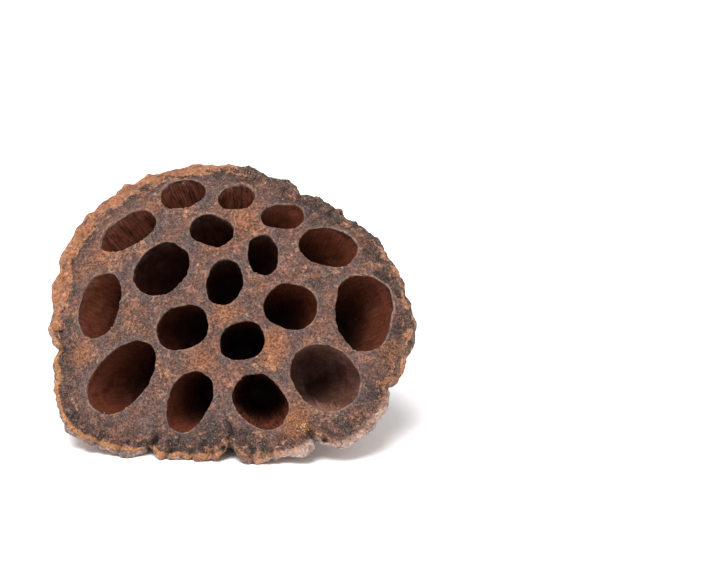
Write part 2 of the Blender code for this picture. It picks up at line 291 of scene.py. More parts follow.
# Creases that run in from the rim: angle in degrees, length in millimetres, depth share.
creases = (
    (246, 7.5, 1.0), (276, 9.0, 1.0), (307, 6.0, 0.9), (337, 5.0, 0.7), (54, 6.0, 0.6), (68, 5.0, 0.8),
    (195, 4.5, 0.7), (262, 5.0, 0.5), (231, 5.5, 0.6), (291, 5.0, 0.6), (322, 4.0, 0.5), (130, 3.5, 0.4),
    (238, 6.0, 0.6), (253, 8.5, 0.7), (284, 7.0, 0.6), (269, 7.0, 0.5), (43, 4.0, 0.4),
)


def denseForm(cadNode):
    form = bmesh.new()
    form.from_mesh(cadNode.data)
    bmesh.ops.remove_doubles(form, verts=form.verts, dist=podSkin["mergeWithin"])
    limit = podSkin["quadAngle"]
    bmesh.ops.join_triangles(form, faces=form.faces, angle_face_threshold=limit,
                             angle_shape_threshold=limit)
    mesh = bpy.data.meshes.new("podSkin")
    form.to_mesh(mesh)
    form.free()
    pod = addObject("podSkin", mesh)
    rounding = pod.modifiers.new("rounding", "SUBSURF")
    rounding.levels = rounding.render_levels = 1
    evenNet = pod.modifiers.new("evenNet", "REMESH")
    evenNet.mode = "VOXEL"
    evenNet.voxel_size = podSkin["voxel"]
    settle = pod.modifiers.new("settle", "SMOOTH")
    settle.factor, settle.iterations = 0.5, 2
    applyModifiers(pod)
    return pod


def applyModifiers(piece):
    bpy.context.view_layer.update()
    finished = bpy.data.meshes.new_from_object(piece.evaluated_get(bpy.context.evaluated_depsgraph_get()))
    old = piece.data
    piece.modifiers.clear()
    piece.data = finished
    bpy.data.meshes.remove(old)
    finished.name = piece.name


def streakPlaces(skin):
    # runs of the ribs: an even circle round the axis, drawn out ninefold from stem to rim
    turn = np.radians(skin["degrees"])
    along = np.hypot(skin["radius"], skin["w"]) / 9
    return np.stack((30 * np.cos(turn), 30 * np.sin(turn), along), 1)


def wallPlaces(skin):
    # runs of a cavity's wall fibres, drawn out from mouth to bottom
    size, turn = skin["size"], skin["turn"]
    offset = skin["tone"] * 90  # so that no two cavities share a pattern
    return np.stack((size * np.cos(turn) + offset, size * np.sin(turn), skin["w"] / 7), 1)


def creaseMask(skin, off=0.0, width=0.75):
    # 1 in a crease's line, or in two lines that far off it, wandering a little
    mask = np.zeros(len(skin["u"]))
    for angle, length, share in creases:
        wander = 1.1 * np.sin(skin["inward"] * 0.9 + angle)
        aside = turnedBy(skin["degrees"] - angle) * math.pi / 180 * skin["radius"]
        aside += wander * fade(skin["inward"], 1, 6)
        line = bump(np.abs(aside) - off, width) * (1 - fade(skin["inward"], 0.6 * length, length))
        mask = np.maximum(mask, share * line)
    return mask * (skin["face"] | (skin["flank"] & (skin["w"] > -2.5)))


def pinholeMask(skin):
    mask = np.zeros(len(skin["u"]))
    for across, up, radius in pinholes:
        mask = np.maximum(mask, bump(np.hypot(skin["u"] - across, skin["v"] - up), radius))
    return mask * skin["face"]


# The crooked ridge down the wall of the widest cavity at the lower right.
wallRidge = {
    "tone": 0.95,
    "turn": -60.0,  # degrees round the cavity, and how far it drifts on its way down
    "drift": -20.0,
    "halfWidth": 4.5,
    "browner": 0.09,
    "brownMiddle": 48,  # degrees past the ridge, with where the brown starts to fade and where it ends
    "brownFade": (42, 60),
    "litTurn": 205.0,  # where that cavity's wall is painted as lit; its opposite side gets painted shade
}


def inWidest(skin):
    return np.abs(skin["tone"] - wallRidge["tone"]) < 0.01


def besideRidge(skin):
    # degrees past the ridge, going round the cavity
    drift = wallRidge["drift"] * (skin["depth"] - 0.5) + 5 * np.sin(skin["depth"] * 17)
    return turnedBy(np.degrees(skin["turn"]) - wallRidge["turn"] - drift)


def ridgeMask(skin):
    line = bump(besideRidge(skin), wallRidge["halfWidth"]) * fade(skin["depth"], 0.22, 0.38)
    return (skin["lining"] & inWidest(skin)) * line * (1 - fade(skin["depth"], 0.80, 0.95))


def raiseSkin(pod):
    mesh = pod.data
    places = toPod(readVectors(mesh.vertices, "co"))
    normals = readVectors(mesh.vertex_normals, "vector") @ podAxes.T
    skin = readSkin(places, normals)
    lift = np.zeros(len(places))
    face, flank, rim = skin["face"], skin["flank"], skin["rim"]
    chosen = face | (rim > 0.02)
    part = places[chosen]
    calm = 1 - 0.75 * bump(skin["lip"][chosen], 0.8)
    lift[chosen] += calm * podSkin["faceLump"] * grain(part, 4.6)
    lift[chosen] += calm * podSkin["faceGrain"] * grain(part, 1.5, 2, shift=7)
    # folds of the margin run in from the rim
    streaks = streakPlaces(skin)
    folds = ridges(streaks[chosen] * (1, 1, 2.5), 3.6, 11)
    pleats = ridges(streaks[chosen] * (1, 1, 3), 1.5, 41)
    inward = np.where(face, skin["inward"], 0)[chosen]
    folds = podSkin["marginFold"] * (folds - 0.55)
    lift[chosen] += folds * fade(inward, 9.5, 3.0) * fade(inward, -1.5, 2.5)
    pleats = podSkin["marginPleat"] * (pleats - 0.6)
    lift[chosen] += pleats * fade(inward, 8.0, 4.0) * fade(inward, 0.3, 3.0)
    lobes = podSkin["rimLobe"] * grain(part, 7.5, 2, shift=17)
    crinkle = podSkin["rimCrinkle"] * grain(part, 2.4, 2, shift=21)
    flutes = podSkin["rimFlute"] * (ridges(streaks[chosen] * (1, 1, 3), 2.1, 31) - 0.6)
    lift[chosen] += rim[chosen] * (lobes + crinkle + flutes)
    lift += podSkin["lipRise"] * bump(skin["lip"] - 0.15, 0.4) * ~skin["lining"]
    # folds, ribs and streaks of the flank
    part = streaks[flank]
    wander = 2.2 * grain(part, 9.0, 2, shift=5)
    bent = part + np.stack((wander, -wander, np.zeros(len(part))), 1)
    runs = podSkin["flankFold"] * (ridges(bent, 7.5, 3) - 0.6)
    runs += podSkin["flankStreak"] * (ridges(bent, 2.6, 9) - 0.6)
    runs += podSkin["flankFine"] * grain(part, 1.1, 2)
    down = -skin["w"][flank]
    lift[flank] += runs * fade(down, -1, 3.5) * (1 - 0.65 * fade(down, 24, 40))
    lining = skin["lining"]
    striae = podSkin["wallStria"] * grain(wallPlaces(skin)[lining], 0.9, 2)
    soft = podSkin["wallLump"] * grain(places[lining], 5.0, 2, shift=3)
    lift[lining] += (striae + soft) * fade(skin["lip"][lining], 0.3, 1.6)
    lift += podSkin["wallRidge"] * ridgeMask(skin)
    stub = skin["stub"]
    lift[stub] += podSkin["corkBump"] * (grain(places[stub], 1.5, 3) - 0.25)
    lift -= podSkin["marginCrease"] * creaseMask(skin)
    lift += podSkin["creaseShoulder"] * creaseMask(skin, 1.9, 0.9) * fade(skin["inward"], 0.8, 2.5)
    lift -= podSkin["pinholeDepth"] * pinholeMask(skin)
    near = skin["lip"] < 6
    sway = np.zeros_like(places)
    for axis in (0, 1):
        sway[near, axis] = podSkin["lipSway"] * grain(places[near], 4.2, 2, shift=51 + 9 * axis)
    sway[near] *= bump(skin["lip"][near], 3.0)[:, None]
    raised = toWorld(places + normals * lift[:, None] + sway)
    low, high = (np.array(corner) for corner in cadBox)
    raised = np.clip(raised, low + podSkin["boxMargin"], high - podSkin["boxMargin"])
    setVector(mesh, "restPlace", places)
    setVector(mesh, "restNormal", normals)
    setFloat(mesh, "relief", lift)
    mesh.vertices.foreach_set("co", raised.astype(np.float32).ravel())
    mesh.update()
    mesh.calc_loop_triangles()
    if len(mesh.loop_triangles) > podSkin["mostTriangles"]:
        thin = pod.modifiers.new("thin", "DECIMATE")
        thin.ratio = podSkin["mostTriangles"] / len(mesh.loop_triangles)
        applyModifiers(pod)


# Where the pod is rusty orange on its face: across, up, reach in millimetres, strength.
rustPatches = (
    (-1.0, 32.0, 5.0, 0.9), (-5.9, 20.5, 4.5, 0.9), (3.0, 26.0, 4.5, 0.6), (-0.4, -3.1, 4.5, 1.0),
    (15.2, -11.2, 4.2, 1.2), (15.0, -16.5, 3.6, 0.9), (-5.6, -18.5, 5.0, 0.9), (-43.5, -15.5, 4.0, 1.2),
    (24.0, -33.0, 4.0, 1.1), (21.5, -36.0, 3.6, 0.8), (48.5, -10.5, 4.0, 0.9), (37.5, 25.5, 5.0, 0.6),
    (-40.5, 16.5, 5.0, 0.9), (-28.5, -4.0, 4.5, 0.5), (-28.5, 33.0, 5.0, 0.6), (24.8, 11.5, 1.2, 1.1),
    (-16.0, 29.0, 4.0, 0.4), (9.0, 7.5, 3.5, 0.5), (-23.0, -10.5, 3.5, 0.5), (-47.0, 10.0, 4.0, 0.6),
)

# Where the face is darker and greyer: across, up, reach in millimetres, strength.
duskyPatches = (
    (-34.0, -37.0, 7.0, 0.7), (-12.0, -40.0, 6.5, 0.9), (-3.0, -38.0, 5.5, 1.0), (4.0, -39.0, 4.5, 0.9),
    (11.0, -38.5, 4.0, 0.6), (34.0, -32.0, 6.0, 0.9), (42.0, -23.0, 6.0, 0.7), (47.0, -2.0, 4.5, 0.6),
    (-47.5, -15.0, 5.0, 0.7), (-50.0, 2.0, 4.0, 0.8), (-44.0, 23.0, 3.2, 0.7), (20.0, 36.5, 4.5, 1.0),
    (25.5, 33.0, 4.0, 1.0), (12.0, 41.0, 4.5, 0.7), (-4.0, 44.5, 5.0, 0.7), (-30.0, 39.5, 3.5, 0.6),
    (38.0, 24.0, 4.0, 0.5), (-22.0, -6.5, 4.0, 0.5), (24.5, -31.0, 3.0, 0.5), (-27.0, 17.0, 4.0, 0.4),
)

# How the rim looks going round: angle in degrees, how far in its orange reaches in millimetres, how
# strong that is, how clear the thin bright line on its crest is, how grey and how pale its outside is.
rimLooks = (
    (0, 2.4, 0.60, 0.1, 0.5, 0.1), (20, 2.0, 0.50, 0.0, 0.6, 0.1), (38, 1.4, 0.30, 0.0, 0.9, 0.0),
    (60, 1.0, 0.12, 0.0, 1.0, 0.0), (88, 1.2, 0.15, 0.0, 1.0, 0.1), (95, 3.0, 0.90, 0.0, 0.4, 0.2),
    (106, 4.2, 1.10, 0.0, 0.1, 0.4), (150, 4.4, 1.10, 0.0, 0.0, 0.3), (184, 4.8, 1.10, 0.0, 0.0, 0.4),
    (193, 1.2, 0.35, 1.0, 0.5, 0.8), (225, 1.0, 0.30, 1.0, 0.5, 0.8), (256, 1.4, 0.40, 1.0, 0.6, 0.6),
    (264, 2.8, 0.90, 0.5, 0.5, 0.3), (276, 2.4, 0.45, 0.2, 0.8, 0.2), (288, 3.2, 0.80, 0.2, 0.5, 0.4),
    (298, 3.0, 0.40, 0.3, 0.3, 1.5), (328, 3.0, 0.40, 0.4, 0.3, 1.5), (337, 2.6, 0.60, 0.3, 0.6, 0.4),
    (360, 2.4, 0.60, 0.1, 0.5, 0.1),
)


def setFloat(mesh, name, values):
    layer = mesh.attributes.new(name, "FLOAT", "POINT")
    layer.data.foreach_set("value", np.asarray(values, np.float32))


def setVector(mesh, name, values):
    layer = mesh.attributes.new(name, "FLOAT_VECTOR", "POINT")
    layer.data.foreach_set("vector", np.asarray(values, np.float32).ravel())


def patched(skin, patches):
    total = np.zeros(len(skin["u"]))
    for across, up, reach, strength in patches:
        total += strength * bump(np.hypot(skin["u"] - across, skin["v"] - up), reach)
    return total


def paintMasks(pod):
    mesh = pod.data
    stored = [readVectors(mesh.attributes[name].data, "vector") for name in ("restPlace", "restNormal")]
    skin = readSkin(*stored)
    away = np.maximum(np.hypot(skin["u"], skin["v"]), 1)
    # how far each cavity wall faces out from the pod's middle: that side is painted lit and the inner side
    # gets painted shade; in the widest cavity the painted lit side is turned to its own angle
    litSide = (np.cos(skin["turn"]) * skin["u"] + np.sin(skin["turn"]) * skin["v"]) / away
    litSide = np.where(inWidest(skin), np.cos(skin["turn"] - math.radians(wallRidge["litTurn"])), litSide)
    for name in ("restPlace", "restNormal"):
        mesh.attributes.remove(mesh.attributes[name])
    angles, widths, strengths, lines, greys, pales = zip(*rimLooks)
    width, strength, line, grey, pale = (
        np.interp(skin["degrees"], angles, row) for row in (widths, strengths, lines, greys, pales))
    edge = np.abs(skin["edgeAway"])
    onFlank = 1 - skin["flank"] * fade(edge, 0.8, 3.2)
    beyond = 1 - fade(np.abs(besideRidge(skin) - wallRidge["brownMiddle"]), *wallRidge["brownFade"])
    masks = {
        "lipAway": skin["lipAway"],
        "edgeAway": skin["edgeAway"],
        "rust": patched(skin, rustPatches),
        "dusk": patched(skin, duskyPatches),
        "rimOrange": onFlank * strength * (1 - fade(edge, width - 2.0, width + 2.6)),
        "rimGrey": (0.35 + 0.65 * grey) * (1 - fade(edge, 1.8, 4.6)),
        "rimLine": line,
        "rimPale": pale,
        # painted shade in the creases running in from the rim and in the pinholes
        "crease": np.maximum(0.8 * creaseMask(skin), 1.4 * pinholeMask(skin)),
        "cavityDepth": skin["depth"],
        "cavityTone": skin["tone"] - wallRidge["browner"] * beyond * inWidest(skin),
        "cavityOuter": 0.5 + 0.5 * litSide,
        "stemward": fade(-skin["w"], 14, 38),
    }
    for name, values in masks.items():
        setFloat(mesh, name, values)
    # lengths for the shaders' vectors are in millimetres
    setVector(mesh, "flankRun", streakPlaces(skin))
    setVector(mesh, "faceRun", streakPlaces(skin) * (1, 1, 3))
    outOfRim = np.clip(skin["edgeAway"], -12, 12)
    setVector(mesh, "rimRun", np.stack((0.35 * skin["u"], 0.35 * skin["v"], outOfRim), 1))
    setVector(mesh, "wallRun", wallPlaces(skin))
    # the face's look also covers where a lip rolls over into its cavity
    deepWall = skin["lining"] & (skin["lipAway"] < -1.2)
    kind = np.select((deepWall, skin["stub"], skin["flank"]), (1, 3, 2), 0)
    corners = np.empty(len(mesh.loops), np.int32)
    mesh.loops.foreach_get("vertex_index", corners)
    starts = np.empty(len(mesh.polygons), np.int32)
    mesh.polygons.foreach_get("loop_start", starts)
    mesh.polygons.foreach_set("material_index", kind[corners[starts]].astype(np.int32))
    mesh.polygons.foreach_set("use_smooth", np.ones(len(mesh.polygons), bool))
    mesh.update()


# Shader building blocks

def feed(tree, socket, value):
    if isinstance(value, bpy.types.NodeSocket):
        tree.links.new(value, socket)
    else:
        socket.default_value = value


def addNode(tree, kind, **inputs):
    node = tree.nodes.new(kind)
    for name, value in inputs.items():
        feed(tree, node.inputs[name], value)
    return node


def attribute(tree, name, output="Fac"):
    node = tree.nodes.new("ShaderNodeAttribute")
    node.attribute_name = name
    return node.outputs[output]


def blend(tree, share, first, second, kind="MIX"):
    node = tree.nodes.new("ShaderNodeMix")
    node.data_type = "RGBA"
    node.blend_type = kind
    for number, value in ((0, share), (6, first), (7, second)):
        feed(tree, node.inputs[number], value)
    return node.outputs[2]


def coat(tree, under, share, name):
    # one more colour over the ones before it
    return blend(tree, share, under, colour[name])


def maths(tree, operation, *values):
    node = tree.nodes.new("ShaderNodeMath")
    node.operation = operation
    for socket, value in zip(node.inputs, values):
        feed(tree, socket, value)
    return node.outputs[0]


def times(tree, *values):
    return maths(tree, "MULTIPLY", *values)


def plus(tree, *values):
    return maths(tree, "ADD", *values)


def minus(tree, *values):
    return maths(tree, "SUBTRACT", *values)


def apart(tree, *values):
    return maths(tree, "ABSOLUTE", minus(tree, *values))


def ranged(tree, value, low, high, outLow=0.0, outHigh=1.0):
    node = tree.nodes.new("ShaderNodeMapRange")
    node.interpolation_type = "SMOOTHSTEP"
    limits = {"Value": value, "From Min": low, "From Max": high, "To Min": outLow, "To Max": outHigh}
    for name, number in limits.items():
        feed(tree, node.inputs[name], number)
    return node.outputs["Result"]


def newGroup(name, inputs, outputs):
    # an input gives its kind, or the number that it starts from
    group = bpy.data.node_groups.new(name, "ShaderNodeTree")
    for label, value in inputs.items():
        kind = value if isinstance(value, str) else "Float"
        socket = group.interface.new_socket(name=label, in_out="INPUT", socket_type="NodeSocket" + kind)
        if kind == "Float":
            socket.default_value = value
    for label, kind in outputs.items():
        group.interface.new_socket(name=label, in_out="OUTPUT", socket_type="NodeSocket" + kind)
    entry = group.nodes.new("NodeGroupInput")
    leave = group.nodes.new("NodeGroupOutput")
    return group, entry.outputs, leave.inputs


def placeGroup(tree, name, **inputs):
    node = tree.nodes.new("ShaderNodeGroup")
    node.node_tree = shared[name]
    for label, value in inputs.items():
        feed(tree, node.inputs[label], value)
    return node.outputs


def mottled(tree, place, size, cover, softness):
    return placeGroup(tree, "mottle", Place=place, Size=size, Cover=cover, Softness=softness)["Mask"]


def specked(tree, place, density, share, size):
    return placeGroup(tree, "specks", Place=place, Density=density, Share=share, Grain=size)["Mask"]


def fibred(tree, run, fineness, contrast):
    return placeGroup(tree, "fibres", Run=run, Fineness=fineness, Contrast=contrast)


def wrinkled(tree, place, size, width):
    return placeGroup(tree, "wrinkles", Place=place, Size=size, Width=width)["Mask"]


def mottleGroup():
    # soft blotches: a mask with a share of it covered
    group, entry, leave = newGroup(
        "driedMottle",
        {"Place": "Vector", "Size": 400.0, "Cover": 0.5, "Softness": 0.12},
        {"Mask": "Float"})
    cloud = addNode(group, "ShaderNodeTexNoise", Vector=entry["Place"], Scale=entry["Size"], Detail=7.0,
                    Roughness=0.66, Distortion=0.25)
    level = minus(group, 1.0, entry["Cover"])
    level = ranged(group, level, 0.0, 1.0, 0.28, 0.72)
    low = minus(group, level, entry["Softness"])
    high = plus(group, level, entry["Softness"])
    group.links.new(ranged(group, cloud.outputs["Fac"], low, high), leave["Mask"])
    return group


def speckGroup():
    # scattered grains: some cells of a lattice hold one, each of its own size
    group, entry, leave = newGroup(
        "driedSpecks",
        {"Place": "Vector", "Density": 1200.0, "Share": 0.3, "Grain": 0.3},
        {"Mask": "Float"})
    warp = addNode(group, "ShaderNodeTexNoise", Vector=entry["Place"], Scale=entry["Density"], Detail=2.0)
    bent = addNode(group, "ShaderNodeVectorMath")
    bent.operation = "MULTIPLY_ADD"
    group.links.new(warp.outputs["Color"], bent.inputs[0])
    bent.inputs[1].default_value = (0.0006, 0.0006, 0.0006)
    group.links.new(entry["Place"], bent.inputs[2])
    cells = addNode(group, "ShaderNodeTexVoronoi", Vector=bent.outputs[0], Scale=entry["Density"])
    pick = addNode(group, "ShaderNodeSeparateColor", Color=cells.outputs["Color"])
    kept = maths(group, "LESS_THAN", pick.outputs[0], entry["Share"])
    size = times(group, ranged(group, pick.outputs[1], 0.0, 1.0, 0.45, 1.2), entry["Grain"])
    soft = times(group, size, 0.55)
    dot = ranged(group, cells.outputs["Distance"], size, soft)
    group.links.new(times(group, dot, kept), leave["Mask"])
    return group


def fibreGroup():
    # fine parallel fibres along a run: a mask and a height
    group, entry, leave = newGroup(
        "driedFibres",
        {"Run": "Vector", "Fineness": 1.0, "Contrast": 0.2},
        {"Mask": "Float", "Height": "Float"})
    coarse = addNode(group, "ShaderNodeTexNoise", Vector=entry["Run"], Scale=entry["Fineness"], Detail=5.0,
                     Roughness=0.7, Distortion=0.15)
    low = minus(group, 0.5, entry["Contrast"])
    high = plus(group, 0.5, entry["Contrast"])
    group.links.new(ranged(group, coarse.outputs["Fac"], low, high), leave["Mask"])
    group.links.new(coarse.outputs["Fac"], leave["Height"])
    return group


def wrinkleGroup():
    # thin wandering wrinkles: 1 along their lines
    group, entry, leave = newGroup(
        "driedWrinkles",
        {"Place": "Vector", "Size": 400.0, "Width": 0.04},
        {"Mask": "Float"})
    cloud = addNode(group, "ShaderNodeTexNoise", Vector=entry["Place"], Scale=entry["Size"], Detail=3.5,
                    Roughness=0.6, Distortion=0.7)
    aside = apart(group, cloud.outputs["Fac"], 0.5)
    group.links.new(ranged(group, aside, entry["Width"], 0.0), leave["Mask"])
    return group


def rimGroup():
    # the rim's colours laid over a base, the same on its front and back
    group, entry, leave = newGroup(
        "rimTone",
        {"Base": "Color", "Place": "Vector", "Run": "Vector", "Orange": 0.5, "Grey": 0.5, "Line": 0.0,
         "Away": 0.0, "Pale": 0.0},
        {"Color": "Color", "Calm": "Float"})
    drawn = mottled(group, entry["Run"], 0.42, 0.5, 0.09)
    middle = mottled(group, entry["Place"], 760.0, 0.5, 0.10)
    fine = mottled(group, entry["Place"], 2000.0, 0.45, 0.12)
    streak = mottled(group, entry["Run"], 1.3, 0.45, 0.10)
    grey = blend(group, middle, colour["rimGrey"], colour["rimBrown"])
    grey = coat(group, grey, times(group, fine, 0.6), "faceDark")
    grey = coat(group, grey, times(group, streak, 0.35), "rimPink")
    orange = blend(group, middle, colour["rimOrange"], colour["rimPeach"])
    orange = coat(group, orange, times(group, streak, 0.6), "rimPink")
    thin = mottled(group, entry["Run"], 0.60, 0.38, 0.05)
    orange = coat(group, orange, times(group, thin, 0.85), "rimMauve")
    orange = coat(group, orange, times(group, fine, 0.45), "rimRusty")
    uneven = minus(group, drawn, 0.5)
    share = plus(group, entry["Grey"], times(group, uneven, -0.5))
    mixed = blend(group, ranged(group, share, 0.25, 0.75), entry["Base"], grey)
    uneven = plus(group, uneven, times(group, minus(group, middle, 0.5), 0.4))
    share = plus(group, entry["Orange"], times(group, uneven, 0.75))
    orangeShare = ranged(group, share, 0.30, 0.58)
    mixed = blend(group, orangeShare, mixed, orange)
    wander = addNode(group, "ShaderNodeTexNoise", Vector=entry["Place"], Scale=120.0, Detail=2.0)
    course = times(group, minus(group, wander.outputs["Fac"], 0.5), 3.2)
    along = plus(group, entry["Away"], course)
    spread = maths(group, "DIVIDE", along, plus(group, times(group, entry["Pale"], 0.9), 0.35))
    outside = times(group, ranged(group, spread, 2.4, 0.8), entry["Pale"])
    outside = times(group, outside, ranged(group, middle, 0.0, 1.0, 1.0, 0.45))
    mixed = coat(group, mixed, outside, "rimPale")
    aside = apart(group, along, 2.2)
    line = times(group, ranged(group, aside, 0.85, 0.35), entry["Line"])
    line = times(group, line, ranged(group, fine, 0.0, 1.0, 1.0, 0.75))
    mixed = coat(group, mixed, line, "rimBright")
    group.links.new(mixed, leave["Color"])
    busy = maths(group, "MAXIMUM", maths(group, "MAXIMUM", orangeShare, line), outside)
    group.links.new(minus(group, 1.0, times(group, busy, 0.75)), leave["Calm"])
    return group


def liningGroup():
    # a cavity wall's colour, with painted shade towards its bottom and on its inner side, and its height,
    # the same on the wall and where its lip rolls over
    group, entry, leave = newGroup(
        "liningTone",
        {"Place": "Vector", "Run": "Vector", "Depth": 0.5, "Tone": 0.5, "Outer": 0.5},
        {"Color": "Color", "Height": "Float"})
    striae = fibred(group, entry["Run"], 1.5, 0.10)
    blotch = mottled(group, entry["Place"], 240.0, 0.5, 0.16)
    fine = mottled(group, entry["Place"], 1300.0, 0.40, 0.14)
    tone = entry["Tone"]
    # low tones are partly the lining's own dark colour and partly painted shade of the deepest, least lit
    # cavities
    tint = blend(group, ranged(group, tone, 0.0, 0.40), colour["liningDark"], colour["liningRed"])
    tint = coat(group, tint, ranged(group, tone, 0.30, 0.70), "liningMauve")
    tint = coat(group, tint, ranged(group, tone, 0.70, 1.0), "liningPale")
    amber = times(group, blotch, ranged(group, tone, 0.0, 0.3, 0.05, 0.5))
    tint = coat(group, tint, amber, "liningAmber")
    strength = times(group, ranged(group, tone, 0.55, 0.66, 0.30, 0.80),
                     ranged(group, tone, 0.75, 0.90, 1.0, 0.3))
    tint = coat(group, tint, times(group, striae["Mask"], strength), "liningDark")
    tint = coat(group, tint, times(group, fine, 0.40), "liningDark")
    bright = ranged(group, tone, 0.70, 0.95, 1.0, 0.2)
    # painted shade on the side of the wall turned away from its painted lit side
    shade = ranged(group, entry["Outer"], 0.15, 0.85, 0.5, 0.0)
    tint = coat(group, tint, shade, "liningDark")
    # painted shade: the wall darkens towards the cavity's bottom, less in the palest cavities
    deep = times(group, ranged(group, entry["Depth"], 0.25, 0.95, 0.0, 0.9), bright)
    tint = coat(group, tint, deep, "liningDark")
    group.links.new(tint, leave["Color"])
    group.links.new(plus(group, striae["Height"], times(group, fine, 0.2)), leave["Height"])
    return group


# Base colours, linear.
colour = {
    "faceGrey": (0.140, 0.101, 0.096, 1),
    "faceMauve": (0.295, 0.138, 0.100, 1),
    "faceBrown": (0.100, 0.040, 0.027, 1),
    "faceDark": (0.018, 0.011, 0.010, 1),
    "facePale": (0.540, 0.365, 0.270, 1),
    "dusk": (0.036, 0.027, 0.028, 1),
    "rust": (0.370, 0.130, 0.050, 1),
    "gold": (0.420, 0.220, 0.070, 1),
    "lipCollarShade": (0.115, 0.088, 0.086, 1),
    "lipPale": (0.330, 0.190, 0.140, 1),
    "rimOrange": (0.440, 0.145, 0.044, 1),
    "rimPeach": (0.580, 0.275, 0.135, 1),
    "rimPink": (0.360, 0.180, 0.140, 1),
    "rimRusty": (0.150, 0.050, 0.022, 1),
    "rimMauve": (0.105, 0.056, 0.052, 1),
    "rimPale": (0.480, 0.345, 0.300, 1),
    "rimBright": (0.520, 0.215, 0.075, 1),
    "rimGrey": (0.080, 0.062, 0.052, 1),
    "rimBrown": (0.145, 0.090, 0.060, 1),
    "liningDark": (0.005, 0.0010, 0.0007, 1),
    "liningRed": (0.078, 0.0150, 0.0070, 1),
    "liningMauve": (0.170, 0.048, 0.029, 1),
    "liningPale": (0.370, 0.200, 0.158, 1),
    "liningAmber": (0.115, 0.033, 0.008, 1),
    "flankPink": (0.360, 0.215, 0.165, 1),
    "flankMauve": (0.190, 0.108, 0.096, 1),
    "flankBrown": (0.110, 0.048, 0.034, 1),
    "flankPlum": (0.040, 0.021, 0.021, 1),
    "flankPale": (0.400, 0.270, 0.210, 1),
    "corkGold": (0.300, 0.150, 0.055, 1),
    "corkBrown": (0.065, 0.027, 0.010, 1),
    "corkPale": (0.460, 0.290, 0.135, 1),
    "pitDark": (0.009, 0.004, 0.003, 1),
    "crumbPale": (0.600, 0.400, 0.190, 1),
    "threadPale": (0.360, 0.260, 0.180, 1),
}

# The last two groups hold the ones before them.
shared = {
    "mottle": mottleGroup(),
    "specks": speckGroup(),
    "fibres": fibreGroup(),
    "wrinkles": wrinkleGroup(),
}
shared["rim"] = rimGroup()
shared["lining"] = liningGroup()
print("shader groups built")


def newMaterial(name, roughness):
    material = bpy.data.materials.new(name)
    material.use_nodes = True
    tree = material.node_tree
    shader = tree.nodes["Principled BSDF"]
    shader.inputs["Roughness"].default_value = roughness
    shader.inputs["Specular IOR Level"].default_value = 0.3
    place = tree.nodes.new("ShaderNodeTexCoord").outputs["Object"]
    return material, tree, shader, place


def finishMaterial(tree, shader, tint, height, strength, reach):
    tree.links.new(tint, shader.inputs["Base Color"])
    raised = addNode(tree, "ShaderNodeBump", Height=height, Strength=strength, Distance=reach)
    tree.links.new(raised.outputs["Normal"], shader.inputs["Normal"])


def placeRim(tree, tint, place):
    return placeGroup(tree, "rim", Base=tint, Place=place, Run=attribute(tree, "rimRun", "Vector"),
                      Orange=attribute(tree, "rimOrange"), Grey=attribute(tree, "rimGrey"),
                      Line=attribute(tree, "rimLine"), Away=attribute(tree, "edgeAway"),
                      Pale=attribute(tree, "rimPale"))


def placeLining(tree, place):
    return placeGroup(tree, "lining", Place=place, Run=attribute(tree, "wallRun", "Vector"),
                      Depth=attribute(tree, "cavityDepth"), Tone=attribute(tree, "cavityTone"),
                      Outer=attribute(tree, "cavityOuter"))


